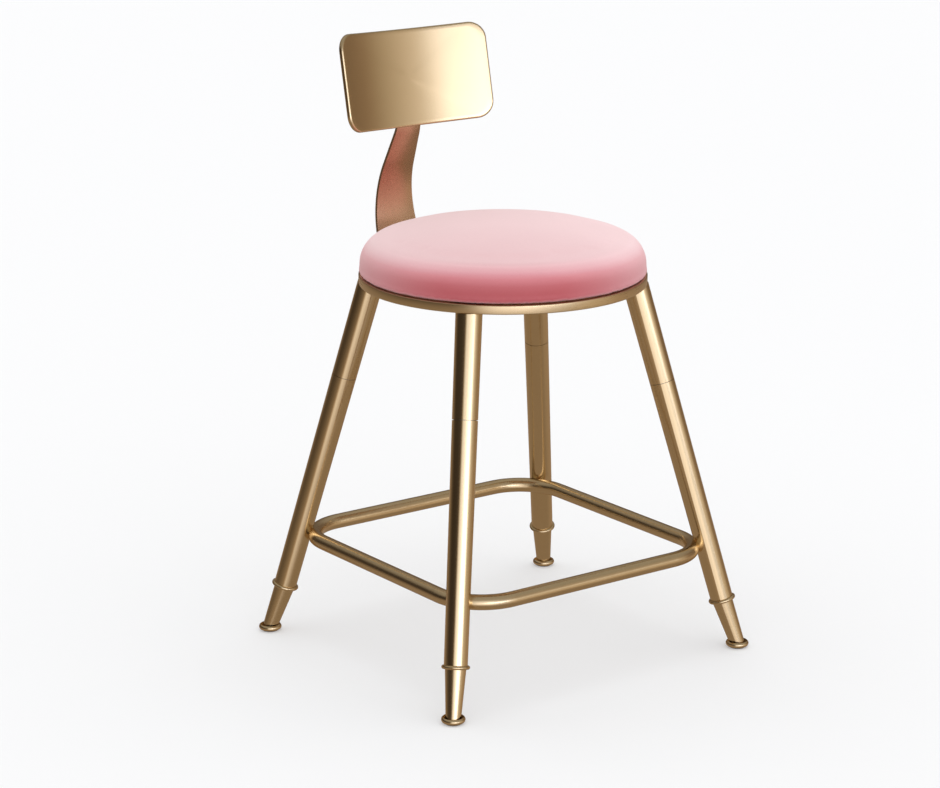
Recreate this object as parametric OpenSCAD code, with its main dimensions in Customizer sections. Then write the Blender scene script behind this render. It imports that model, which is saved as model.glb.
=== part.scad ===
// Round padded stool with a low curved back, four splayed tube legs and a square foot ring.
// Millimetres, +Z up, floor at z = 0. The sitter faces -Y, so the back stands at +Y.
// "left" is -X and "right" is +X, as seen by somebody who looks at the front of the stool.

/* [Seat] */

// Radius of the brass hoop under the cushion
hoop_r = 170; // [150:1:200]
// Width of the hoop's square bar
hoop_w = 12; // [8:1:20]
// Height of the hoop's square bar
hoop_h = 10.5; // [8:1:20]
// Height of the hoop's underside above the floor
hoop_z = 445.5; // [400:0.5:520]
// Width of the rails that cross the hoop
rail_w = 26; // [18:1:40]
// Radius of the plywood seat board
board_r = 152; // [130:1:165]
// Thickness of the plywood seat board
board_t = 15; // [9:1:20]
// Gap between the hoop and the bottom edge of the cover
cover_gap = 1.4; // [0.2:0.1:4]
// Widest radius of the cushion
cushion_r = 169.6; // [150:0.1:200]
// Height of the cushion's widest line above the hoop
cushion_wide_z = 12; // [7:0.5:20]
// Radius of the cushion's upper edge
cushion_edge_r = 34; // [20:1:45]
// Radius of its lower edge, just above the hoop
low_r = 4; // [3:0.5:8]
// Height of the cushion's crown above the hoop
cushion_crown_z = 65; // [45:0.5:90]
// Thickness of the velvet cover with its lining
cover_t = 2.5; // [1:0.5:4]

/* [Legs] */

// Half distance between the leg axes across the stool, at the hoop
leg_top_x = 120.6; // [90:0.1:150]
// Half distance between the leg axes front to back, at the hoop
leg_top_y = 97.5; // [80:0.1:140]
// Half distance between the leg axes across the stool, at the floor
leg_foot_x = 209.6; // [160:0.1:260]
// Half distance between the leg axes front to back, at the floor
leg_foot_y = 189.6; // [140:0.1:240]
// Leg radius where the axis meets the floor
leg_foot_r = 13.3; // [10:0.1:18]
// Leg radius under the hoop
leg_top_r = 15.4; // [12:0.1:20]
// Wall of the leg tubes
leg_wall = 1.5; // [1:0.1:3]
// Height of the seam between the upper and the lower leg
seam_z = 327; // [250:1:400]
// Width of the seam
seam_gap = 0.6; // [0.2:0.1:1]
// Length of the sleeve that joins the two leg tubes
sleeve_l = 60; // [30:1:90]
// Wall of that sleeve
sleeve_t = 2; // [1:0.5:4]

/* [Foot ring] */

// Half size of the foot ring, to the tube's centreline
ring_half = 179.3; // [140:0.1:220]
// Corner radius of the foot ring, to the tube's centreline
ring_corner_r = 60; // [40:1:90]
// Radius of the ring's tube
ring_tube_r = 9; // [6:0.5:14]
// Wall of the ring's tube
ring_wall = 1.5; // [1:0.1:3]
// Height of the ring's centreline
ring_z = 125; // [80:1:220]

/* [Feet] */

// Height of the collar's centre on the leg axis
collar_z = 59.5; // [40:0.5:90]
// Outer radius of the collar bead
collar_r = 16.3; // [14:0.1:20]
// Radius of the bead's section
bead_r = 2.25; // [1.5:0.05:4]
// Radius at the top of the tapered ferrule
ferrule_top_r = 12.3; // [10:0.1:15]
// Radius at the ferrule's tip
ferrule_tip_r = 8.6; // [6:0.1:10]
// How far the glide's centre stands outside the leg axis
glide_out = 4; // [0:0.5:8]
// Outer radius of the glide disc
glide_r = 13.8; // [12:0.1:20]
// Radius of the glide's rounded rim
glide_rim_r = 3.4; // [3:0.05:5]
// Height of the ball's centre above the floor
ball_z = 5; // [4.5:0.1:7]
// Radius of the ball on the glide's stud
ball_r = 2.5; // [2:0.1:3]
// Running clearance around the ball
ball_gap = 0.05; // [0.02:0.01:0.1]
// Radius of the nylon floor pad
pad_r = 9.6; // [8:0.1:12]
// Thickness of the nylon floor pad
pad_t = 1.6; // [1:0.1:3]

/* [Back post] */

// Thickness of the post's flat bar
post_t = 4; // [3:0.5:8]
// Greatest distance from the seat axis to the post's front face
post_y = 221.9; // [190:0.1:260]
// Height of that point
post_z = 507.7; // [480:0.1:540]
// Radius of the long bend, on its front face
post_bow_r = 109.8; // [80:0.1:160]
// Forward lean of the post above the long bend
post_lean = 24.4; // [10:0.1:35]
// Radius of the bend under the seat, on its upper face
post_low_r = 30; // [15:1:50]
// Radius of the reverse bend below the plate, on its rear face
post_high_r = 55.8; // [30:0.1:90]
// Distance from the seat axis to the tongue's front end
tongue_y = 78; // [60:1:120]
// Width of the tongue under the seat
tongue_w = 59.4; // [40:0.1:80]
// Width of the post at its top end
post_top_w = 28.1; // [20:0.1:50]
// Height where the post starts to narrow
taper_z = 470; // [440:1:520]

/* [Back plate] */

// Distance from the seat axis to the middle of the plate's front face
plate_y = 191.3; // [170:0.1:230]
// Height of the middle of the plate's front face
plate_z = 661.9; // [600:0.1:720]
// Width of the plate, straight across
plate_w = 213; // [160:0.5:260]
// Height of the plate along its slope
plate_h = 117.5; // [80:0.5:160]
// Corner radius of the plate
plate_corner_r = 21; // [10:1:40]
// Radius of the plate's concave front face
plate_curve_r = 250; // [180:1:500]
// Backward lean of the plate
plate_lean = 11.8; // [5:0.1:20]
// Thickness of the plate
plate_t = 6; // [3:0.5:10]

/* [Hidden] */

$fn = 96;
// small height that makes cutting tools run past the faces they cut
eps = 1;
// flats in each bend of the post
bend_steps = 20;

// leg axis
leg_dx = leg_foot_x - leg_top_x;
leg_dy = leg_foot_y - leg_top_y;
leg_run = sqrt(leg_dx * leg_dx + leg_dy * leg_dy);
leg_tilt = atan2(leg_run, hoop_z);
leg_len = sqrt(leg_run * leg_run + hoop_z * hoop_z);
leg_az = atan2(leg_dy, leg_dx);

// ferrule axis, from the collar's centre down to the ball's centre
collar_x = leg_foot_x - leg_dx * collar_z / hoop_z;
collar_y = leg_foot_y - leg_dy * collar_z / hoop_z;
glide_x = leg_foot_x - leg_dx * ball_z / hoop_z + glide_out * cos(leg_az);
glide_y = leg_foot_y - leg_dy * ball_z / hoop_z + glide_out * sin(leg_az);
foot_dx = glide_x - collar_x;
foot_dy = glide_y - collar_y;
foot_run = sqrt(foot_dx * foot_dx + foot_dy * foot_dy);
foot_tilt = atan2(foot_run, collar_z - ball_z);
foot_len = sqrt(foot_run * foot_run + (collar_z - ball_z) * (collar_z - ball_z));

// the box of the whole stool is centred on the origin, so the seat axis stands a little forward
seat_y = -(post_y + post_t - glide_y - glide_r) / 2;

// distances along the leg axis
collar_s = collar_z / cos(leg_tilt);
seam_s = seam_z / cos(leg_tilt);
collar_seat = 0.9;

// glide
recess_r = 11.8;
recess_z = 3.4;
rim_c_r = glide_r - glide_rim_r;
rim_c_z = 1.2 + glide_rim_r;
boss_r = 4.6;
boss_z = ball_z + 0.9;
tip_z = ball_z + 0.2;
shank_r = 3;

// cushion
hoop_top = hoop_z + hoop_h;
cover_z = hoop_top + cover_gap;
wide_z = hoop_top + cushion_wide_z;
crown_z = hoop_top + cushion_crown_z;
edge_c_r = cushion_r - cushion_edge_r;
crown_rise = crown_z - wide_z;
crown_r = (edge_c_r * edge_c_r + crown_rise * crown_rise - cushion_edge_r * cushion_edge_r)
    / (2 * (crown_rise - cushion_edge_r));
crown_a = atan2(edge_c_r, crown_r - crown_rise);

// back post: centres of its bends, measured from the seat axis
bow_c_y = post_y - post_bow_r;
bow_c_z = post_z;
low_a = asin((bow_c_z - hoop_z - post_low_r) / (post_bow_r - post_low_r));
low_c_y = bow_c_y + (post_bow_r - post_low_r) * cos(low_a);
low_c_z = hoop_z + post_low_r;
bow_end_y = bow_c_y + post_bow_r * cos(post_lean);
bow_end_z = bow_c_z + post_bow_r * sin(post_lean);
// point on the plate's rear face, level with its middle
rear_y = plate_y + plate_t * cos(plate_lean);
rear_z = plate_z - plate_t * sin(plate_lean);
// where the leaning part of the post would meet the plate's rear face
meet_d = ((bow_end_y - rear_y) * cos(plate_lean) - (bow_end_z - rear_z) * sin(plate_lean))
    / sin(post_lean + plate_lean);
turn_a = post_lean + plate_lean;
turn_t = (post_high_r + post_t) * tan(turn_a / 2);
lean_l = meet_d - turn_t;
meet_y = bow_end_y - meet_d * sin(post_lean);
meet_z = bow_end_z + meet_d * cos(post_lean);
turn_end_y = meet_y + turn_t * sin(plate_lean);
turn_end_z = meet_z + turn_t * cos(plate_lean);
turn_c_y = turn_end_y + (post_high_r + post_t) * cos(plate_lean);
turn_c_z = turn_end_z - (post_high_r + post_t) * sin(plate_lean);
post_top_h = 32;
post_top_l = post_top_h + (rear_z - turn_end_z) / cos(plate_lean);
screw_h = [-12, 16];
bolt_x = 17;
seat_screw_x = 78;

// colours
brass = [0.78, 0.64, 0.44];
dark_steel = [0.35, 0.33, 0.31];
velvet = [0.9, 0.68, 0.7];
foam = [0.93, 0.9, 0.8];
plywood = [0.76, 0.6, 0.42];
nylon = [0.2, 0.18, 0.17];

// ---------- placing ----------

// seat axis
module at_seat() {
    translate([0, seat_y, 0])
        children();
}

// local z runs up the leg axis, from the floor
module on_leg(sx, sy) {
    translate([sx * leg_foot_x, seat_y + sy * leg_foot_y, 0])
        rotate([0, leg_tilt, atan2(-sy * leg_dy, -sx * leg_dx)])
            rotate([0, 0, 90])
                children();
}

// local z runs up the ferrule axis, from the ball's centre
module on_foot(sx, sy) {
    translate([sx * glide_x, seat_y + sy * glide_y, ball_z])
        rotate([0, foot_tilt, atan2(-sy * foot_dy, -sx * foot_dx)])
            rotate([0, 0, 90])
                children();
}

// upright at the glide's centre on the floor
module on_glide(sx, sy) {
    translate([sx * glide_x, seat_y + sy * glide_y, 0])
        children();
}

// local origin in the middle of the plate's front face, local z up its slope, -y towards the sitter
module on_plate() {
    translate([0, seat_y + plate_y, plate_z])
        rotate([-plate_lean, 0, 0])
            children();
}

// ---------- seat ----------

// half section of the cushion, shrunk by t on every side
module cushion_section(t) {
    difference() {
        union() {
            intersection() {
                translate([0, crown_z - crown_r])
                    circle(r = crown_r - t, $fn = 360);
                translate([0, cover_z + t])
                    square([crown_r * sin(crown_a), cushion_crown_z]);
            }
            intersection() {
                translate([edge_c_r, wide_z])
                    circle(r = cushion_edge_r - t);
                translate([0, wide_z - eps])
                    square([cushion_r, cushion_crown_z]);
            }
            translate([0, cover_z + t])
                square([cushion_r - low_r, wide_z - cover_z - t]);
            translate([0, cover_z + low_r])
                square([cushion_r - t, wide_z - cover_z - low_r]);
            translate([cushion_r - low_r, cover_z + low_r])
                circle(r = low_r - t);
        }
        translate([-2 * cushion_r, 0])
            square([2 * cushion_r, 2 * crown_z]);
    }
}

module cushion_cover() {
    color(velvet)
        at_seat()
            rotate_extrude()
                difference() {
                    cushion_section(0);
                    cushion_section(cover_t);
                    square([board_r + 0.2, hoop_top + board_t]);
                }
}

module seat_foam() {
    color(foam)
        at_seat()
            rotate_extrude()
                difference() {
                    cushion_section(cover_t + 0.1);
                    square([board_r + 0.2, hoop_top + board_t + 0.1]);
                }
}

module seat_screw_places() {
    for (x = [-seat_screw_x, seat_screw_x])
        for (y = [-leg_top_y, leg_top_y])
            translate([x, y, 0])
                children();
}

module bolt_places() {
    for (x = [-bolt_x, bolt_x])
        translate([x, leg_top_y, 0])
            children();
}

module seat_board() {
    color(plywood)
        at_seat()
            difference() {
                translate([0, 0, hoop_top])
                    cylinder(h = board_t, r = board_r);
                seat_screw_places()
                    translate([0, 0, hoop_top - eps])
                        cylinder(h = 10 + eps, r = 2);
            }
}

module seat_hoop() {
    color(brass)
        at_seat()
            difference() {
                translate([0, 0, hoop_z])
                    cylinder(h = hoop_h, r = hoop_r);
                translate([0, 0, hoop_z - eps])
                    cylinder(h = hoop_h + 2 * eps, r = hoop_r - hoop_w);
            }
}

// flat bar across the hoop, above two leg tops
module rail(y) {
    color(dark_steel)
        at_seat()
            difference() {
                intersection() {
                    translate([-hoop_r, y - rail_w / 2, hoop_z])
                        cube([2 * hoop_r, rail_w, hoop_h]);
                    translate([0, 0, hoop_z])
                        cylinder(h = hoop_h, r = hoop_r - hoop_w);
                }
                seat_screw_places()
                    translate([0, 0, hoop_z - eps])
                        cylinder(h = hoop_h + 2 * eps, r = 2.6);
                bolt_places()
                    translate([0, 0, hoop_z - eps])
                        cylinder(h = hoop_h + 2 * eps, r = 4);
            }
}

module rail_front() {
    rail(-leg_top_y);
}

module rail_rear() {
    rail(leg_top_y);
}

module seat_screws() {
    color(dark_steel)
        at_seat()
            seat_screw_places() {
                translate([0, 0, hoop_z - 3])
                    cylinder(h = 3, r = 5);
                translate([0, 0, hoop_z - 0.5])
                    cylinder(h = hoop_h + 10, r = 2);
            }
}

// ---------- back ----------

// points along an arc in the side view
function arc(cy, cz, r, from, to) =
    [for (i = [0:bend_steps])
        let (a = from + (to - from) * i / bend_steps)
            [cy + r * cos(a), cz + r * sin(a)]];

// one face of the post in the side view, t behind its front face
function post_face(t) = concat(
    [[tongue_y, hoop_z - t]],
    arc(low_c_y, low_c_z, post_low_r + t, -90, -low_a),
    arc(bow_c_y, bow_c_z, post_bow_r + t, -low_a, post_lean),
    arc(turn_c_y, turn_c_z, post_high_r + post_t - t, 180 + post_lean, 180 - plate_lean),
    [[turn_end_y + post_top_l * sin(plate_lean) + t * cos(plate_lean),
        turn_end_z + post_top_l * cos(plate_lean) - t * sin(plate_lean)]]);

// full width bar bent to the side shape, from the tongue under the seat to the top end
module post_blank() {
    rear = post_face(post_t);
    translate([-tongue_w / 2, 0, 0])
        rotate([90, 0, 90])
            linear_extrude(height = tongue_w)
                polygon(concat(post_face(0), [for (i = [len(rear) - 1:-1:0]) rear[i]]));
}

// front view of the post: wide under the seat, narrowing towards the plate
module post_front_view() {
    top = plate_z + plate_h;
    slope = (tongue_w - post_top_w) / (plate_z - plate_h / 4 - taper_z);
    top_w = tongue_w - slope * (top - taper_z);
    translate([0, 2 * hoop_r, 0])
        rotate([90, 0, 0])
            linear_extrude(height = 2 * hoop_r)
                polygon([
                    [-tongue_w / 2, hoop_z - 2 * post_t],
                    [tongue_w / 2, hoop_z - 2 * post_t],
                    [tongue_w / 2, taper_z],
                    [top_w / 2, top],
                    [-top_w / 2, top],
                    [-tongue_w / 2, taper_z]]);
}

module back_post() {
    color(brass)
        difference() {
            at_seat()
                intersection() {
                    post_blank();
                    post_front_view();
                }
            at_seat()
                bolt_places()
                    translate([0, 0, hoop_z - post_t - eps])
                        cylinder(h = post_t + 2 * eps, r = 4.2);
            on_plate()
                for (h = screw_h)
                    translate([0, plate_t - eps, h])
                        rotate([-90, 0, 0])
                            cylinder(h = post_t + 2 * eps, r = 3.2);
        }
}

module post_bolts() {
    color(dark_steel)
        at_seat()
            bolt_places() {
                translate([0, 0, hoop_z - post_t - 4.5])
                    cylinder(h = 4.5, r = 6.5, $fn = 6);
                translate([0, 0, hoop_z - post_t - 0.5])
                    cylinder(h = post_t + hoop_h - 1, r = 4);
            }
}

module back_plate() {
    color(brass)
        on_plate()
            difference() {
                intersection() {
                    translate([0, -plate_curve_r, -plate_h / 2])
                        difference() {
                            cylinder(h = plate_h, r = plate_curve_r + plate_t, $fn = 360);
                            translate([0, 0, -eps])
                                cylinder(h = plate_h + 2 * eps, r = plate_curve_r, $fn = 360);
                        }
                    translate([0, 4 * plate_t, 0])
                        rotate([90, 0, 0])
                            linear_extrude(height = plate_curve_r / 2)
                                plate_outline();
                }
                for (h = screw_h)
                    translate([0, plate_t - 4, h])
                        rotate([-90, 0, 0])
                            cylinder(h = 4 + eps, r = 3);
            }
}

// the plate seen from the front, with its rounded corners
module plate_outline() {
    cx = plate_w / 2 - plate_corner_r;
    cy = plate_h / 2 - plate_corner_r;
    square([plate_w, 2 * cy], center = true);
    square([2 * cx, plate_h], center = true);
    for (x = [-cx, cx])
        for (y = [-cy, cy])
            translate([x, y])
                circle(r = plate_corner_r);
}

module plate_screws() {
    color(dark_steel)
        on_plate()
            for (h = screw_h)
                translate([0, 0, h])
                    rotate([-90, 0, 0]) {
                        translate([0, 0, plate_t - 3.8])
                            cylinder(h = 3.8 + post_t + 0.5, r = 3);
                        translate([0, 0, plate_t + post_t])
                            cylinder(h = 3, r1 = 5.5, r2 = 4);
                    }
}

// ---------- foot ring and legs ----------

// the ring's path filled with a round section of radius r
module ring_sweep(r) {
    side = ring_half - ring_corner_r;
    for (q = [0:3])
        rotate([0, 0, 90 * q]) {
            translate([side, side, 0])
                rotate_extrude(angle = 90)
                    translate([ring_corner_r, 0])
                        circle(r = r, $fn = 48);
            translate([ring_half, -side, 0])
                rotate([-90, 0, 0])
                    cylinder(h = 2 * side, r = r, $fn = 48);
        }
}

// vent holes that open the tube into the legs where it is welded on
module ring_vents() {
    side = ring_half - ring_corner_r;
    vent_x = leg_foot_x - leg_dx * ring_z / hoop_z - side;
    vent_y = leg_foot_y - leg_dy * ring_z / hoop_z - side;
    for (sx = [-1, 1])
        for (sy = [-1, 1])
            translate([sx * side, sy * side, 0])
                rotate([0, 90, atan2(sy * vent_y, sx * vent_x)])
                    translate([0, 0, ring_corner_r])
                        cylinder(h = ring_tube_r + 2, r = 2);
}

module foot_ring() {
    color(brass)
        at_seat()
            translate([0, 0, ring_z])
                difference() {
                    ring_sweep(ring_tube_r);
                    ring_sweep(ring_tube_r - ring_wall);
                    ring_vents();
                }
}

// radius of a leg's outside, s up its axis
function leg_r(s) = leg_foot_r + (leg_top_r - leg_foot_r) * s / leg_len;

// solid taper that follows the leg's outside, shrunk by t
module leg_cone(from, to, t) {
    translate([0, 0, from])
        cylinder(h = to - from, r1 = leg_r(from) - t, r2 = leg_r(to) - t);
}

// tapered tube of the leg between two points on its axis
module leg_tube(from, to) {
    difference() {
        leg_cone(from, to, 0);
        leg_cone(from - eps, to + eps, leg_wall);
    }
}

// from the seam to a level cut against the underside of the hoop and rail
module leg_upper(sx, sy) {
    color(brass)
        difference() {
            on_leg(sx, sy)
                leg_tube(seam_s + seam_gap / 2, leg_len + 2 * leg_top_r);
            translate([-2 * hoop_r, -2 * hoop_r, hoop_z])
                cube([4 * hoop_r, 4 * hoop_r, 4 * leg_top_r]);
        }
}

module leg_sleeve(sx, sy) {
    color(dark_steel)
        on_leg(sx, sy)
            difference() {
                leg_cone(seam_s - sleeve_l / 2, seam_s + sleeve_l / 2, leg_wall + 0.05);
                leg_cone(seam_s - sleeve_l / 2 - eps, seam_s + sleeve_l / 2 + eps, leg_wall + sleeve_t);
            }
}

// from the collar to the seam, coped for the foot ring
module leg_lower(sx, sy) {
    color(brass)
        difference() {
            on_leg(sx, sy)
                leg_tube(collar_s + collar_seat, seam_s - seam_gap / 2);
            at_seat()
                translate([0, 0, ring_z])
                    ring_sweep(ring_tube_r);
        }
}

// ---------- feet ----------

module collar(sx, sy) {
    color(brass)
        on_leg(sx, sy)
            translate([0, 0, collar_s])
                rotate_extrude()
                    difference() {
                        translate([collar_r - bead_r, 0])
                            circle(r = bead_r, $fn = 32);
                        translate([0, -2 * bead_r])
                            square([ferrule_top_r + 0.05, 4 * bead_r]);
                        translate([0, collar_seat])
                            square([leg_foot_r + 0.4, 2 * bead_r]);
                    }
}

module ferrule(sx, sy) {
    color(brass)
        difference() {
            union() {
                on_foot(sx, sy)
                    translate([0, 0, -5])
                        cylinder(h = foot_len + 5, r1 = ferrule_tip_r, r2 = ferrule_top_r);
                on_leg(sx, sy)
                    leg_cone(collar_s - 2, collar_s + 25, leg_wall + 0.05);
            }
            on_glide(sx, sy)
                translate([0, 0, tip_z - 20])
                    cylinder(h = 20, r = 40);
            on_foot(sx, sy) {
                translate([0, 0, -5])
                    cylinder(h = 9, r = 6.2);
                cylinder(h = 24, r = shank_r);
            }
        }
}

module ball_stud(sx, sy) {
    color(dark_steel)
        on_foot(sx, sy) {
            sphere(r = ball_r, $fn = 48);
            cylinder(h = 6, r = 1.4, $fn = 48);
            translate([0, 0, 5])
                cylinder(h = 18, r = shank_r, $fn = 48);
        }
}

module glide(sx, sy) {
    color(brass)
        on_glide(sx, sy)
            difference() {
                union() {
                    difference() {
                        union() {
                            translate([0, 0, rim_c_z])
                                rotate_extrude()
                                    translate([rim_c_r, 0])
                                        circle(r = glide_rim_r, $fn = 48);
                            translate([0, 0, pad_t])
                                cylinder(h = rim_c_z - pad_t, r = rim_c_r);
                        }
                        translate([0, 0, recess_z])
                            cylinder(h = 10, r = recess_r);
                    }
                    translate([0, 0, pad_t])
                        cylinder(h = boss_z - pad_t, r = boss_r);
                }
                translate([0, 0, pad_t - 10])
                    cylinder(h = 10, r = pad_r);
                translate([0, 0, ball_z])
                    sphere(r = ball_r + ball_gap, $fn = 48);
            }
}

module glide_pad(sx, sy) {
    color(nylon)
        on_glide(sx, sy)
            cylinder(h = pad_t, r = pad_r);
}

// ---------- nodes ----------

cushion_cover();
seat_foam();
seat_board();
seat_hoop();
rail_front();
rail_rear();
seat_screws();
back_post();
post_bolts();
back_plate();
plate_screws();
foot_ring();
leg_upper(-1, -1);  // leg_upper_front_left
leg_upper(1, -1);  // leg_upper_front_right
leg_upper(-1, 1);  // leg_upper_rear_left
leg_upper(1, 1);  // leg_upper_rear_right
leg_sleeve(-1, -1);  // leg_sleeve_front_left
leg_sleeve(1, -1);  // leg_sleeve_front_right
leg_sleeve(-1, 1);  // leg_sleeve_rear_left
leg_sleeve(1, 1);  // leg_sleeve_rear_right
leg_lower(-1, -1);  // leg_lower_front_left
leg_lower(1, -1);  // leg_lower_front_right
leg_lower(-1, 1);  // leg_lower_rear_left
leg_lower(1, 1);  // leg_lower_rear_right
collar(-1, -1);  // collar_front_left
collar(1, -1);  // collar_front_right
collar(-1, 1);  // collar_rear_left
collar(1, 1);  // collar_rear_right
ferrule(-1, -1);  // ferrule_front_left
ferrule(1, -1);  // ferrule_front_right
ferrule(-1, 1);  // ferrule_rear_left
ferrule(1, 1);  // ferrule_rear_right
ball_stud(-1, -1);  // ball_stud_front_left
ball_stud(1, -1);  // ball_stud_front_right
ball_stud(-1, 1);  // ball_stud_rear_left
ball_stud(1, 1);  // ball_stud_rear_right
glide(-1, -1);  // glide_front_left
glide(1, -1);  // glide_front_right
glide(-1, 1);  // glide_rear_left
glide(1, 1);  // glide_rear_right
glide_pad(-1, -1);  // glide_pad_front_left
glide_pad(1, -1);  // glide_pad_front_right
glide_pad(-1, 1);  // glide_pad_rear_left
glide_pad(1, 1);  // glide_pad_rear_right
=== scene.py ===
import math

import bmesh
import bpy
import numpy as np
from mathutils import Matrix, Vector, noise


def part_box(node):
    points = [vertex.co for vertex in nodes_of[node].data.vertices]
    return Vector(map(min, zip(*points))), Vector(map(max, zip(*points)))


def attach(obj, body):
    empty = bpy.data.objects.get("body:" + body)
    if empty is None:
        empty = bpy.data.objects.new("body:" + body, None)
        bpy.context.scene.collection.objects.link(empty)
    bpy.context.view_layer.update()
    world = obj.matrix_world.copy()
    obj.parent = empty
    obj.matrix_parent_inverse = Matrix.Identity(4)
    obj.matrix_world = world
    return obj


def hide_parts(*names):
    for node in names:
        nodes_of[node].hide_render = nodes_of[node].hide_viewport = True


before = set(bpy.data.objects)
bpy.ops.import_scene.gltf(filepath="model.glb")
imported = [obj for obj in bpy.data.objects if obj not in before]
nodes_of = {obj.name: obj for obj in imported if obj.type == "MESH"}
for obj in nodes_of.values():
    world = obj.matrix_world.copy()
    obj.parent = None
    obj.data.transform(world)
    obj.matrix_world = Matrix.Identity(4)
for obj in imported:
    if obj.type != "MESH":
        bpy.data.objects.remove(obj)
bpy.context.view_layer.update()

scene = bpy.context.scene


# ---------------------------------------------------------------- node helpers

def new_material(name):
    m = bpy.data.materials.new(name)
    m.use_nodes = True
    t = m.node_tree
    t.nodes.clear()
    out = t.nodes.new("ShaderNodeOutputMaterial")
    bsdf = t.nodes.new("ShaderNodeBsdfPrincipled")
    t.links.new(bsdf.outputs[0], out.inputs[0])
    return m, t, bsdf


def ramp(t, fac, stops):
    """Colour ramp with straight blends between its stops."""
    r = t.nodes.new("ShaderNodeValToRGB")
    e = r.color_ramp.elements
    while len(e) < len(stops):
        e.new(0.5)
    for slot, (pos, col) in zip(e, stops):
        slot.position = pos
        slot.color = (*col, 1.0)
    t.links.new(fac, r.inputs[0])
    return r.outputs[0]


def grey(v):
    return (v, v, v)


def stretched(t, scale):
    """Object coordinates scaled along each axis."""
    c = t.nodes.new("ShaderNodeTexCoord")
    m = t.nodes.new("ShaderNodeMapping")
    m.inputs["Scale"].default_value = scale
    t.links.new(c.outputs["Object"], m.inputs[0])
    return m.outputs[0]


def fac_noise(t, vec, scale, detail=4.0, rough=0.55):
    n = t.nodes.new("ShaderNodeTexNoise")
    n.inputs["Scale"].default_value = scale
    n.inputs["Detail"].default_value = detail
    n.inputs["Roughness"].default_value = rough
    t.links.new(vec, n.inputs["Vector"])
    return n.outputs["Fac"]


def bump(t, bsdf, height, strength, distance):
    b = t.nodes.new("ShaderNodeBump")
    b.inputs["Strength"].default_value = strength
    b.inputs["Distance"].default_value = distance
    t.links.new(height, b.inputs["Height"])
    t.links.new(b.outputs[0], bsdf.inputs["Normal"])


def blend(t, first, second, share):
    """Mix of two factors; share is how much of the second there is."""
    n = t.nodes.new("ShaderNodeMix")
    n.data_type = "FLOAT"
    n.inputs[0].default_value = share
    t.links.new(first, n.inputs[2])
    t.links.new(second, n.inputs[3])
    return n.outputs[0]


def maths(t, op, a, b=None):
    """Math node. a and b are numbers or sockets."""
    n = t.nodes.new("ShaderNodeMath")
    n.operation = op
    for i, v in enumerate((a, b)):
        if isinstance(v, (int, float)):
            n.inputs[i].default_value = v
        elif v is not None:
            t.links.new(v, n.inputs[i])
    return n.outputs[0]


def metal(name, dark, light, rough, grain, worn=0.02, grain_bump=0.02):
    """Brushed and lacquered metal. grain is how fine the brush marks are along X, Y and Z, per metre."""
    m, t, b = new_material(name)
    b.inputs["Metallic"].default_value = 1.0
    lines = fac_noise(t, stretched(t, grain), 1.0, 3.0, 0.6)
    clouds = fac_noise(t, stretched(t, (9, 9, 9)), 1.0, 3.0, 0.5)
    both = blend(t, clouds, lines, 0.55)
    t.links.new(ramp(t, both, [(0.3, dark), (0.7, light)]), b.inputs["Base Color"])
    wear = ramp(t, both, [(0.3, grey(rough - worn)), (0.7, grey(rough + worn))])
    t.links.new(wear, b.inputs["Roughness"])
    bump(t, b, lines, grain_bump, 0.0001)
    return m


def speckled(name, scale, detail, colours, roughs, height, metallic=0.0):
    """Plain material with one even noise in its colour, its roughness and its height."""
    m, t, b = new_material(name)
    b.inputs["Metallic"].default_value = metallic
    f = fac_noise(t, stretched(t, (scale, scale, scale)), 1.0, detail)
    t.links.new(ramp(t, f, [(0.3, colours[0]), (0.7, colours[1])]), b.inputs["Base Color"])
    if len(roughs) == 2:
        t.links.new(ramp(t, f, [(0.3, grey(roughs[0])), (0.7, grey(roughs[1]))]), b.inputs["Roughness"])
    else:
        b.inputs["Roughness"].default_value = roughs[0]
    bump(t, b, f, *height)
    return m


# ---------------------------------------------------------------- materials

BRASS_DARK = (0.755, 0.580, 0.335)
BRASS_LIGHT = (0.805, 0.630, 0.380)
# the back post's brass is darker and redder than the rest: a painted reflection of the pink cushion
POST_PAINTED_REFLECTION_DARK = (0.62, 0.41, 0.25)
POST_PAINTED_REFLECTION_LIGHT = (0.66, 0.445, 0.275)
FINE = (900, 900, 900)
BRASS_LEG = metal("brushed_brass_leg", BRASS_DARK, BRASS_LIGHT, 0.17, (800, 800, 10))
BRASS_RING = metal("brushed_brass_ring", BRASS_DARK, BRASS_LIGHT, 0.24, (90, 90, 700))
BRASS_HOOP = metal("brushed_brass_hoop", BRASS_DARK, BRASS_LIGHT, 0.28, (30, 30, 1200))
BRASS_FEET = metal("turned_brass_feet", BRASS_DARK, BRASS_LIGHT, 0.24, (100, 100, 1200))
BRASS_PLATE = metal("satin_brass_plate", BRASS_DARK, BRASS_LIGHT, 0.25, FINE, 0.012, 0.0)
BRASS_POST_PAINTED_REFLECTION = metal("satin_brass_post_painted_reflection", POST_PAINTED_REFLECTION_DARK, POST_PAINTED_REFLECTION_LIGHT, 0.27, FINE, 0.012, 0.0)
STEEL = speckled("plated_steel", 300, 4.0, ((0.30, 0.29, 0.27), (0.45, 0.43, 0.40)), (0.3, 0.45),
                 (0.1, 0.0002), 1.0)
PAINT = speckled("dark_rail_paint", 700, 3.0, ((0.022, 0.018, 0.016), (0.045, 0.038, 0.034)), (0.45, 0.6),
                 (0.2, 0.0003))
NYLON = speckled("dark_nylon", 1500, 2.0, ((0.012, 0.011, 0.010), (0.03, 0.028, 0.026)), (0.5, 0.7),
                 (0.2, 0.0002))
FOAM = speckled("cut_foam", 600, 3.0, ((0.70, 0.64, 0.45), (0.85, 0.80, 0.62)), (0.95,), (0.5, 0.001))


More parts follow.
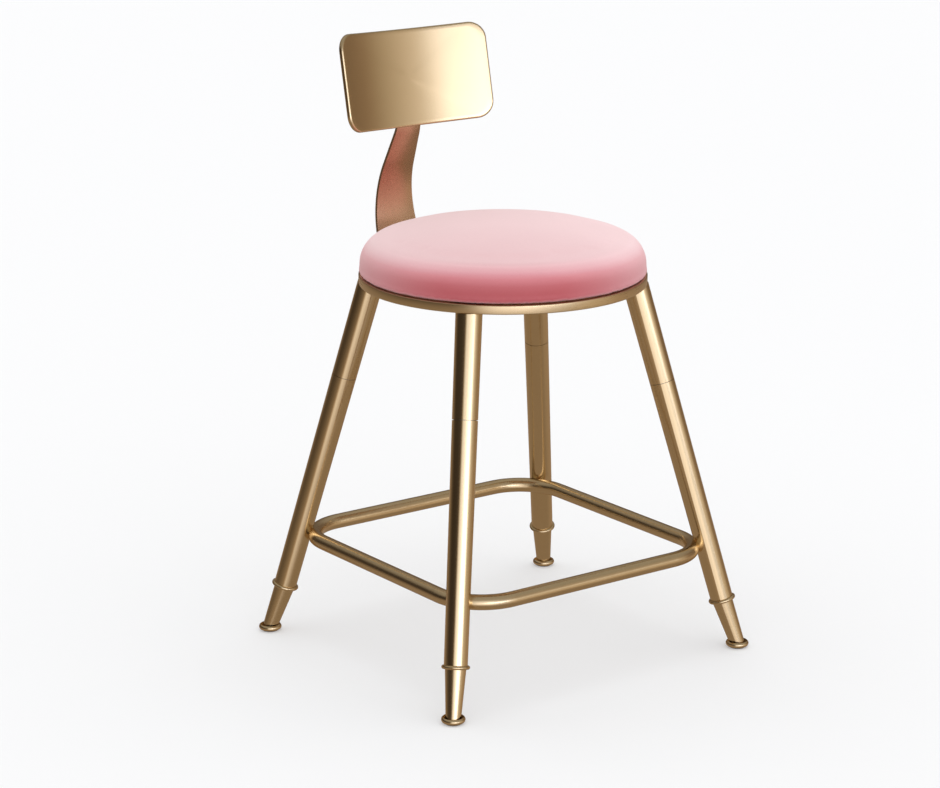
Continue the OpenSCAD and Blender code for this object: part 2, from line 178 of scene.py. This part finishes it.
def plywood():
    """Thin plies one above another, with the grain along X."""
    m, t, b = new_material("plywood_board")
    ply = fac_noise(t, stretched(t, (3, 3, 900)), 1.0, 2.0)
    grain = fac_noise(t, stretched(t, (8, 160, 160)), 1.0, 5.0)
    colour = ramp(t, blend(t, ply, grain, 0.5), [(0.3, (0.30, 0.17, 0.085)), (0.7, (0.52, 0.35, 0.20))])
    t.links.new(colour, b.inputs["Base Color"])
    b.inputs["Roughness"].default_value = 0.65
    bump(t, b, grain, 0.25, 0.0005)
    return m


# velvet colour from where the surface stands upright (0) to where it lies flat (1), with painted light: deep
# pink and darkest where upright or turned under, as painted shade, the slopes of the top paler as if lit
# from above, the flat top darker again
VELVET_PAINTED_LIGHT_BY_SLOPE = [
    (0.0, (0.47, 0.110, 0.120)), (0.26, (0.52, 0.145, 0.157)), (0.5, (0.64, 0.230, 0.250)),
    (0.707, (0.72, 0.345, 0.370)), (0.87, (0.72, 0.37, 0.39)), (0.97, (0.52, 0.22, 0.23)),
    (1.0, (0.42, 0.15, 0.155))]
# share of the painted sheen, a pale tone mixed into the base colour, from looked at squarely (0) to grazed
# (1)
VELVET_PAINTED_SHEEN_BY_GRAZE = [(0.1, 0.0), (0.3, 0.35), (0.5, 0.72), (0.74, 0.95), (1.0, 1.0)]
# how much of that painted sheen shows where the surface is upright (0) and lying flat (1), most on the top
# where light falls
VELVET_PAINTED_SHEEN_UPWARD = [(0.0, 0.35), (0.5, 0.5), (0.85, 1.0)]
# colour of the painted sheen
VELVET_PAINTED_SHEEN_TONE = (0.85, 0.63, 0.64)


def colour_mix(t, kind, fac, a, b):
    """Mix of two colours. Each of fac, a and b is a constant or a socket."""
    n = t.nodes.new("ShaderNodeMix")
    n.data_type = "RGBA"
    n.blend_type = kind
    for slot, v in ((0, fac), (6, a), (7, b)):
        if isinstance(v, (float, tuple)):
            n.inputs[slot].default_value = v
        else:
            t.links.new(v, n.inputs[slot])
    return n.outputs[2]


def velvet():
    """Short pile velvet with painted light in its base colour: deep pink on its sides and from straight
    above, paler on the slopes of the top as if lit from above, and a painted sheen where the top is grazed.
    """
    m, t, b = new_material("pink_velvet_painted_light")
    vec = stretched(t, (1, 1, 1))
    patches = fac_noise(t, vec, 11.0, 3.0, 0.5)
    pile = fac_noise(t, vec, 1500.0, 2.0, 0.6)
    tufts = fac_noise(t, vec, 480.0, 3.0, 0.6)
    geo = t.nodes.new("ShaderNodeNewGeometry")
    axes = t.nodes.new("ShaderNodeSeparateXYZ")
    t.links.new(geo.outputs["Normal"], axes.inputs[0])
    weight = t.nodes.new("ShaderNodeLayerWeight")
    weight.inputs["Blend"].default_value = 0.5
    painted_sheen_by_graze = ramp(t, weight.outputs["Facing"], [(p, grey(v)) for p, v in VELVET_PAINTED_SHEEN_BY_GRAZE])
    painted_sheen_upward = ramp(t, axes.outputs[2], [(p, grey(v)) for p, v in VELVET_PAINTED_SHEEN_UPWARD])
    # painted light: base colour lighter or darker by the slope of the surface
    painted_light_by_slope = ramp(t, axes.outputs[2], VELVET_PAINTED_LIGHT_BY_SLOPE)
    # painted sheen: the pale tone mixed into the base colour where the top is grazed
    pale = colour_mix(t, "MIX", maths(t, "MULTIPLY", painted_sheen_by_graze, painted_sheen_upward), painted_light_by_slope, (*VELVET_PAINTED_SHEEN_TONE, 1.0))
    shade = ramp(t, blend(t, patches, tufts, 0.5), [(0.25, grey(0.93)), (0.75, grey(1.0))])
    t.links.new(colour_mix(t, "MULTIPLY", 1.0, pale, shade), b.inputs["Base Color"])
    b.inputs["Roughness"].default_value = 0.9
    b.inputs["Specular IOR Level"].default_value = 0.1
    b.inputs["Sheen Weight"].default_value = 0.25
    b.inputs["Sheen Roughness"].default_value = 0.35
    b.inputs["Sheen Tint"].default_value = (1.0, 0.9, 0.9, 1.0)
    bump(t, b, maths(t, "ADD", pile, tufts), 0.25, 0.0003)
    return m


PLY = plywood()
VELVET = velvet()


def paint(obj, mat):
    obj.data.materials.clear()
    obj.data.materials.append(mat)


# material of each node, by the start of its name; the first match counts, so glide_pad stands before glide
MATERIALS = {
    "leg_sleeve": STEEL, "ball_stud": STEEL, "seat_screws": STEEL, "post_bolts": STEEL,
    "plate_screws": STEEL,
    "leg_upper": BRASS_LEG, "leg_lower": BRASS_LEG, "foot_ring": BRASS_RING, "seat_hoop": BRASS_HOOP,
    "glide_pad": NYLON, "glide": BRASS_FEET, "collar": BRASS_FEET, "ferrule": BRASS_FEET, "rail": PAINT,
    "back_plate": BRASS_PLATE, "back_post": BRASS_POST_PAINTED_REFLECTION, "seat_board": PLY, "seat_foam": FOAM,
    "cushion_cover": VELVET}


def material_of(node):
    return next(m for start, m in MATERIALS.items() if node.startswith(start))


def round_edges(obj, width):
    """Small rounded edges on a CAD node, as a modifier."""
    w = obj.modifiers.new("weld", "WELD")
    w.merge_threshold = 1e-6
    b = obj.modifiers.new("edges", "BEVEL")
    b.width = width
    b.segments = 3
    b.limit_method = "ANGLE"
    b.angle_limit = math.radians(35)


def smooth(obj, angle):
    """Smooth shading over edges that turn by less than angle degrees."""
    bpy.ops.object.select_all(action="DESELECT")
    obj.select_set(True)
    bpy.context.view_layer.objects.active = obj
    bpy.ops.object.shade_smooth_by_angle(angle=math.radians(angle))


for name, node in nodes_of.items():
    if not node.material_slots:
        node.data.materials.append(material_of(name))
    for slot in node.material_slots:
        slot.material = material_of(name)


# ---------------------------------------------------------------- cushion

lo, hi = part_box("cushion_cover")
seat_c = Vector(((lo[0] + hi[0]) / 2, (lo[1] + hi[1]) / 2, 0))
seat_rad = (hi[0] - lo[0]) / 2
z_low, z_top = lo[2], hi[2]
board_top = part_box("seat_board")[1][2]
board_rad = (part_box("seat_board")[1][0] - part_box("seat_board")[0][0]) / 2
EDGE_R = 0.034              # round of the cushion's top edge
LOW_R = 0.004               # round of its bottom edge
WIDE_Z = z_low + 0.0106     # height at which it is widest
HEM_GAP = 0.0005            # between the board's edge and the hem
BOARD_GAP = 0.0008          # between the board's top and the cushion's underside
CLOTH_INSET = 0.0015        # the cloth starts this far inside the CAD section
CLOTH_REACH = 0.004         # and swells by at most this
CLOTH_FRAMES = 20
PILE_DEPTH = 0.0004         # depth of an undented surface under the CAD section, without its lumps
BROAD_LUMP = 0.0004
FINE_LUMP = 0.0002
DENT_MAX = 0.0010           # a dent left by the cloth counts as at most this deep
DENT_KEPT = 0.6             # share of a dent that stays


def on_circle(centre, radius, a):
    """Point on a circle of the section, at angle a from outwards to up."""
    return (centre[0] + radius * math.cos(a), centre[1] + radius * math.sin(a))


def cushion_profile(inset=0.0):
    """Half section from the inner hem, round the edge and over the crown to the axis."""
    pts = []
    for i in range(3):
        pts.append((board_rad + HEM_GAP + (seat_rad - LOW_R - board_rad - HEM_GAP) * i / 3, z_low + inset))
    for i in range(6):
        a = math.radians(-90 + 90 * i / 5)
        pts.append(on_circle((seat_rad - LOW_R, z_low + LOW_R), LOW_R - inset, a))
    pts.append((seat_rad - inset, (WIDE_Z + z_low + LOW_R) / 2))
    pts.append((seat_rad - inset, WIDE_Z))
    c_r = seat_rad - EDGE_R
    rise = z_top - WIDE_Z
    crown = (c_r * c_r + rise * rise - EDGE_R * EDGE_R) / (2 * (rise - EDGE_R))
    turn = math.atan2(c_r, crown - rise)
    for i in range(1, 13):
        pts.append(on_circle((c_r, WIDE_Z), EDGE_R - inset, (math.pi / 2 - turn) * i / 12))
    for i in range(1, 25):
        a = turn * (1 - i / 24)
        pts.append(((crown - inset) * math.sin(a), z_top - crown + (crown - inset) * math.cos(a)))
    return pts


def lathe(name, profile, segments, centre):
    """Surface turned about the vertical through centre. A last point on the axis closes it."""
    bm = bmesh.new()
    rings = []
    for r, z in profile:
        if r < 1e-6:
            rings.append([bm.verts.new((centre[0], centre[1], z))])
            continue
        ring = []
        for k in range(segments):
            a = 2 * math.pi * k / segments
            ring.append(bm.verts.new((centre[0] + r * math.cos(a), centre[1] + r * math.sin(a), z)))
        rings.append(ring)
    for a, b in zip(rings, rings[1:]):
        for k in range(segments):
            j = (k + 1) % segments
            if len(b) == 1:
                bm.faces.new((a[k], a[j], b[0]))
            elif len(a) == 1:
                bm.faces.new((a[0], b[j], b[k]))
            else:
                bm.faces.new((a[k], a[j], b[j], b[k]))
    bmesh.ops.recalc_face_normals(bm, faces=bm.faces)
    me = bpy.data.meshes.new(name)
    bm.to_mesh(me)
    bm.free()
    o = bpy.data.objects.new(name, me)
    scene.collection.objects.link(o)
    return o


def held(co):
    """The cloth is fixed where it lies on the board and along its bottom edge."""
    inside = math.hypot(co[0] - seat_c[0], co[1] - seat_c[1]) < seat_rad - 0.006
    return co[2] < board_top + 0.003 and inside or co[2] < z_low + 0.003


def coordinates(mesh):
    """Array of the mesh's points, one row each."""
    co = np.empty(len(mesh.vertices) * 3, np.float32)
    mesh.vertices.foreach_get("co", co)
    return co.reshape(-1, 3)


def simulate_pad(obj, cap):
    """Swells the pad as cloth over its filling. No point moves further than cap."""
    bpy.context.view_layer.objects.active = obj
    r = obj.modifiers.new("remesh", "REMESH")
    r.mode = "VOXEL"
    r.voxel_size = 0.005
    bpy.ops.object.modifier_apply(modifier="remesh")
    me = obj.data
    start = coordinates(me)
    pinned = [i for i, co in enumerate(start) if held(co)]
    g = obj.vertex_groups.new(name="held")
    g.add(pinned, 1.0, "REPLACE")
    c = obj.modifiers.new("cloth", "CLOTH")
    s = c.settings
    s.quality = 5
    s.mass = 0.25
    s.tension_stiffness = 25
    s.compression_stiffness = 25
    s.shear_stiffness = 12
    s.bending_stiffness = 2.0
    s.use_pressure = True
    s.uniform_pressure_force = 4.0
    s.vertex_group_mass = "held"
    s.effector_weights.gravity = 0.0
    c.collision_settings.use_collision = False
    for f in range(1, CLOTH_FRAMES + 1):
        scene.frame_set(f)
    deps = bpy.context.evaluated_depsgraph_get()
    move = coordinates(obj.evaluated_get(deps).to_mesh()) - start
    dist = np.linalg.norm(move, axis=1)
    print("cushion moved at most", float(dist.max()))
    move *= np.minimum(1.0, cap / np.maximum(dist, 1e-9))[:, None]
    obj.modifiers.remove(c)
    me.vertices.foreach_set("co", (start + move).astype(np.float32).ravel())
    me.update()
    scene.frame_set(1)


def section_edge():
    """Points along the CAD section and the outward direction at each: r, z, then the direction's r and z."""
    edge = []
    for (r0, z0), (r1, z1) in zip(cushion_profile(), cushion_profile()[1:]):
        for i in range(6):
            edge.append((r0 + (r1 - r0) * i / 6, z0 + (z1 - z0) * i / 6, z1 - z0, -(r1 - r0)))
    edge = np.array(edge)
    edge[:, 2:] /= np.linalg.norm(edge[:, 2:], axis=1)[:, None]
    return edge


def keep_to_section(me):
    """Holds the cloth near the CAD section, outside the foam, with a little unevenness in its pile."""
    edge = section_edge()
    for v in me.vertices:
        d = Vector((v.co.x - seat_c.x, v.co.y - seat_c.y))
        r = d.length
        if r < board_rad + 0.006 and v.co.z < board_top + 0.003:
            continue
        k = int(np.argmin((edge[:, 0] - r) ** 2 + (edge[:, 1] - v.co.z) ** 2))
        edge_r, edge_z, out_r, out_z = edge[k]
        depth = (edge_r - r) * out_r + (edge_z - v.co.z) * out_z
        lump = PILE_DEPTH + noise.noise(v.co * 9.0) * BROAD_LUMP + noise.noise(v.co * 28.0) * FINE_LUMP
        free = min(1.0, max(0.0, (v.co.z - z_low - 0.002) / 0.006))
        move = depth - (min(max(depth, 0.0), DENT_MAX) * DENT_KEPT + lump) * free
        if r > 1e-6:
            v.co.x += d.x / r * out_r * move
            v.co.y += d.y / r * out_r * move
        v.co.z += out_z * move
    me.update()


under_z = board_top + BOARD_GAP
hem_r = board_rad + HEM_GAP
underside = [(0.0, under_z), (board_rad * 0.5, under_z), (hem_r, under_z), (hem_r, (board_top + z_low) / 2)]
cushion = lathe("velvet_cushion", underside + cushion_profile(CLOTH_INSET), 96, seat_c)
simulate_pad(cushion, CLOTH_REACH)

sub = cushion.modifiers.new("round", "SUBSURF")
sub.levels = 1
sub.render_levels = 1
bpy.context.view_layer.objects.active = cushion
bpy.ops.object.modifier_apply(modifier="round")
keep_to_section(cushion.data)
paint(cushion, VELVET)
smooth(cushion, 60)
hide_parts("cushion_cover")
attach(cushion, "stool")

# ---------------------------------------------------------------- hoop with rounded arrises

lo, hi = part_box("seat_hoop")
hoop_c = ((lo[0] + hi[0]) / 2, (lo[1] + hi[1]) / 2)
hoop_out = (hi[0] - lo[0]) / 2
HOOP_WIDE = 0.012
ARRIS = 0.0011              # round of its four edges
hoop_in = hoop_out - HOOP_WIDE
hoop_section = []
for centre, first in (((hoop_out - ARRIS, lo[2] + ARRIS), -90), ((hoop_out - ARRIS, hi[2] - ARRIS), 0),
                      ((hoop_in + ARRIS, hi[2] - ARRIS), 90), ((hoop_in + ARRIS, lo[2] + ARRIS), 180)):
    for q in range(5):
        hoop_section.append(on_circle(centre, ARRIS, math.radians(first + 90 * q / 4)))
hoop_section.append(hoop_section[0])
hoop = lathe("brass_hoop", hoop_section, 240, hoop_c)
bm = bmesh.new()
bm.from_mesh(hoop.data)
bmesh.ops.remove_doubles(bm, verts=bm.verts, dist=1e-6)
bmesh.ops.recalc_face_normals(bm, faces=bm.faces)
bm.to_mesh(hoop.data)
bm.free()
paint(hoop, BRASS_HOOP)
smooth(hoop, 50)
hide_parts("seat_hoop")
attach(hoop, "stool")

# ---------------------------------------------------------------- back plate with a full round edge

PLATE_W = 0.213
PLATE_H = 0.1175
PLATE_R = 0.25              # radius of its curve
PLATE_CORNER = 0.021
PLATE_T = 0.006
PLATE_LEAN = math.radians(11.8)
ROUND = 0.0022              # round of its edge
CORNER_STEPS = 12
SIDE_STEPS = (14, 8)


def outline(inset):
    """Rounded rectangle, counter-clockwise, shrunk by inset."""
    w, h, r = PLATE_W / 2 - inset, PLATE_H / 2 - inset, PLATE_CORNER - inset
    pts = []
    corners = ((1, 1), (-1, 1), (-1, -1), (1, -1))
    for q, (sx, sz) in enumerate(corners):
        here = (sx * (w - r), sz * (h - r))
        for i in range(CORNER_STEPS + 1):
            pts.append(on_circle(here, r, math.radians(90 * q + 90 * i / CORNER_STEPS)))
        nx, nz = corners[(q + 1) % 4]
        x0, z0 = on_circle(here, r, math.radians(90 * q + 90))
        x1, z1 = on_circle((nx * (w - r), nz * (h - r)), r, math.radians(90 * q + 90))
        steps = SIDE_STEPS[q % 2]
        for i in range(1, steps):
            pts.append((x0 + (x1 - x0) * i / steps, z0 + (z1 - z0) * i / steps))
    return pts


def plate_point(x, z, depth):
    """Point at that depth behind the concave front face, in the plate's own frame."""
    k = x / PLATE_R
    return Vector(((PLATE_R + depth) * math.sin(k), (PLATE_R + depth) * math.cos(k) - PLATE_R, z))


def plate_rows():
    """Scale, inset and depth of each outline, from the front's middle over the edge to the back's middle."""
    rows = []
    for scale in (0.12, 0.24, 0.36, 0.48, 0.6, 0.72, 0.84, 0.94):
        rows.append((scale, ROUND, 0.0))
    for q in range(7):
        a = math.radians(90 * q / 6)
        rows.append((1.0, ROUND * (1 - math.sin(a)), ROUND * (1 - math.cos(a))))
    return rows + [(scale, inset, PLATE_T - depth) for scale, inset, depth in reversed(rows)]


def close_end(bm, ring, depth):
    """Fan of faces from a ring to a point in the plate's middle."""
    middle = bm.verts.new(plate_point(0, 0, depth))
    for k in range(len(ring)):
        bm.faces.new((ring[k], ring[(k + 1) % len(ring)], middle))


bm = bmesh.new()
flat_w = PLATE_R * math.asin(PLATE_W / 2 / (PLATE_R + PLATE_T / 2)) / (PLATE_W / 2)
rings = []
for scale, inset, depth in plate_rows():
    points = [plate_point(x * scale * flat_w, z * scale, depth) for x, z in outline(inset)]
    rings.append([bm.verts.new(point) for point in points])
for ring, after in zip(rings, rings[1:]):
    for k in range(len(ring)):
        j = (k + 1) % len(ring)
        bm.faces.new((ring[k], ring[j], after[j], after[k]))
close_end(bm, rings[0], 0.0)
close_end(bm, rings[-1], PLATE_T)
bmesh.ops.remove_doubles(bm, verts=bm.verts, dist=1e-6)
bmesh.ops.recalc_face_normals(bm, faces=bm.faces)
for v in bm.verts:
    y, z = v.co.y, v.co.z
    v.co.y = y * math.cos(PLATE_LEAN) + z * math.sin(PLATE_LEAN)
    v.co.z = z * math.cos(PLATE_LEAN) - y * math.sin(PLATE_LEAN)
# the leaning plate is centred in the CAD plate's box
lo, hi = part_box("back_plate")
for axis in range(3):
    vals = [v.co[axis] for v in bm.verts]
    shift = (lo[axis] + hi[axis]) / 2 - (min(vals) + max(vals)) / 2
    for v in bm.verts:
        v.co[axis] += shift
me = bpy.data.meshes.new("brass_back_plate")
bm.to_mesh(me)
bm.free()
plate = bpy.data.objects.new("brass_back_plate", me)
scene.collection.objects.link(plate)
paint(plate, BRASS_PLATE)
smooth(plate, 60)
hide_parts("back_plate")
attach(plate, "stool")

# ---------------------------------------------------------------- CAD nodes that stay

round_edges(nodes_of["back_post"], 0.0009)
for name, node in nodes_of.items():
    if name.startswith(("collar", "glide_front", "glide_rear", "ferrule")):
        smooth(node, 40)
    elif not name.startswith("glide_pad"):
        smooth(node, 30)

# ---------------------------------------------------------------- floor

FLOOR = 60      # half the floor's width
bm = bmesh.new()
bm.faces.new([bm.verts.new((x, y, 0)) for x, y in
              ((-FLOOR, -FLOOR), (FLOOR, -FLOOR), (FLOOR, FLOOR), (-FLOOR, FLOOR))])
me = bpy.data.meshes.new("floor")
bm.to_mesh(me)
bm.free()
floor = bpy.data.objects.new("floor", me)
scene.collection.objects.link(floor)
m, t, b = new_material("pale_floor")
b.inputs["Base Color"].default_value = (0.64, 0.64, 0.645, 1)
b.inputs["Emission Color"].default_value = (0.97, 1.0, 1.02, 1)
b.inputs["Emission Strength"].default_value = 0.245
b.inputs["Roughness"].default_value = 1.0
b.inputs["Specular IOR Level"].default_value = 0.0
floor.data.materials.append(m)
floor.visible_glossy = False

# ---------------------------------------------------------------- light

# wide soft light overhead that leans to the back; it lights cloth and floor and keeps out of the brass
lamp = bpy.data.lights.new("overhead", "SUN")
lamp.energy = 2.70
lamp.color = (0.985, 1.0, 1.012)
lamp.angle = math.radians(165)
sun = bpy.data.objects.new("overhead", lamp)
scene.collection.objects.link(sun)
lean = math.radians(22)
side = math.radians(54)
to_sun = Vector((math.sin(lean) * math.cos(side), math.sin(lean) * math.sin(side), math.cos(lean)))
sun.rotation_euler = to_sun.to_track_quat("Z", "Y").to_euler()
sun.visible_glossy = False

# studio dome: a tall softbox in front, a lower and brighter panel over one edge of it, and dim warm walls
world = bpy.data.worlds.new("studio")
scene.world = world
world.use_nodes = True
wt = world.node_tree
wt.nodes.clear()


def colour_maths(op, a, b):
    """Vector Math node on two colours of the dome."""
    n = wt.nodes.new("ShaderNodeVectorMath")
    n.operation = op
    wt.links.new(a, n.inputs[0])
    wt.links.new(b, n.inputs[1])
    return n.outputs[0]


def around(rows):
    """Ramp stops from rows of azimuth, brightness and tint. The dome's strength undoes the division."""
    return [((azimuth + 180) / 360, tuple(c * bright / DOME for c in tint))
            for azimuth, bright, tint in rows]


def by_height(rows):
    """Ramp stops from rows of height, from 0 straight down to 1 straight up, and brightness."""
    return [(height, grey(bright)) for height, bright in rows]


DOME = 4.0
WARM = (1.0, 0.72, 0.52)
GOLD = (1.0, 0.86, 0.70)
PURE = (1.0, 1.01, 1.14)
CLEAR = (1.0, 1.05, 1.28)
# azimuth in degrees from +X towards +Y, so -90 is in front of the stool
WALLS = [
    (-180, 0.03, WARM), (-156, 0.06, WARM), (-148, 0.45, GOLD), (-139, 1.15, PURE), (-126, 1.35, PURE),
    (-106, 1.35, PURE), (-97, 1.05, PURE), (-88, 0.75, PURE), (-76, 0.60, PURE), (-64, 0.54, GOLD),
    (-50, 0.50, GOLD), (-36, 0.42, GOLD), (-26, 0.28, WARM), (-13, 0.20, WARM), (30, 0.14, WARM),
    (60, 0.12, WARM), (85, 0.15, WARM), (110, 0.06, WARM), (130, 0.03, WARM), (150, 0.03, WARM),
    (180, 0.03, WARM)]
PANEL = [
    (-126, 0.0, CLEAR), (-116, 0.8, CLEAR), (-104, 2.3, CLEAR), (-80, 2.3, CLEAR), (-72, 1.4, CLEAR),
    (-66, 0.62, CLEAR), (-58, 0.32, CLEAR), (-46, 0.1, CLEAR), (-36, 0.0, CLEAR)]
WALL_REACH = [(0.21, 0.0), (0.37, 0.66), (0.47, 1.0), (0.60, 1.0), (0.66, 0.8), (0.78, 0.2), (0.9, 0.0)]
PANEL_REACH = [(0.49, 0.0), (0.52, 1.0), (0.585, 1.0), (0.63, 0.0)]
GROUND = [
    (0.0, (0.075, 0.058, 0.043)), (0.36, (0.070, 0.054, 0.040)), (0.5, (0.003, 0.0025, 0.002)),
    (0.66, (0.006, 0.0055, 0.005)), (0.76, (0.06, 0.056, 0.052)), (0.9, (0.09, 0.086, 0.08)),
    (1.0, (0.09, 0.086, 0.08))]
coord = wt.nodes.new("ShaderNodeTexCoord")
xyz = wt.nodes.new("ShaderNodeSeparateXYZ")
wt.links.new(coord.outputs["Generated"], xyz.inputs[0])
turn = maths(wt, "ARCTAN2", xyz.outputs[1], xyz.outputs[0])
turn = maths(wt, "ADD", maths(wt, "MULTIPLY", turn, 1 / (2 * math.pi)), 0.5)
height = maths(wt, "MULTIPLY", maths(wt, "ADD", xyz.outputs[2], 1.0), 0.5)
walls = colour_maths("MULTIPLY", ramp(wt, turn, around(WALLS)), ramp(wt, height, by_height(WALL_REACH)))
panel = colour_maths("MULTIPLY", ramp(wt, turn, around(PANEL)), ramp(wt, height, by_height(PANEL_REACH)))
total = colour_maths("ADD", colour_maths("ADD", walls, panel), ramp(wt, height, GROUND))
bg = wt.nodes.new("ShaderNodeBackground")
wt.links.new(total, bg.inputs["Color"])
bg.inputs["Strength"].default_value = DOME
w_out = wt.nodes.new("ShaderNodeOutputWorld")
wt.links.new(bg.outputs[0], w_out.inputs[0])

# ---------------------------------------------------------------- camera

AZ = math.radians(36.2)
EL = math.radians(15.28)
DISTANCE = 3.5637
aim = Vector((0.0149, 0.0756, 0.2860))
forward = Vector((math.sin(AZ) * math.cos(EL), math.cos(AZ) * math.cos(EL), -math.sin(EL)))
cam_data = bpy.data.cameras.new("camera")
cam_data.sensor_width = 36
cam_data.lens = 112.13
cam_data.clip_end = 200
cam = bpy.data.objects.new("camera", cam_data)
scene.collection.objects.link(cam)
cam.location = aim - forward * DISTANCE
cam.rotation_euler = forward.to_track_quat("-Z", "Y").to_euler()
scene.camera = cam
scene.view_settings.view_transform = "Standard"
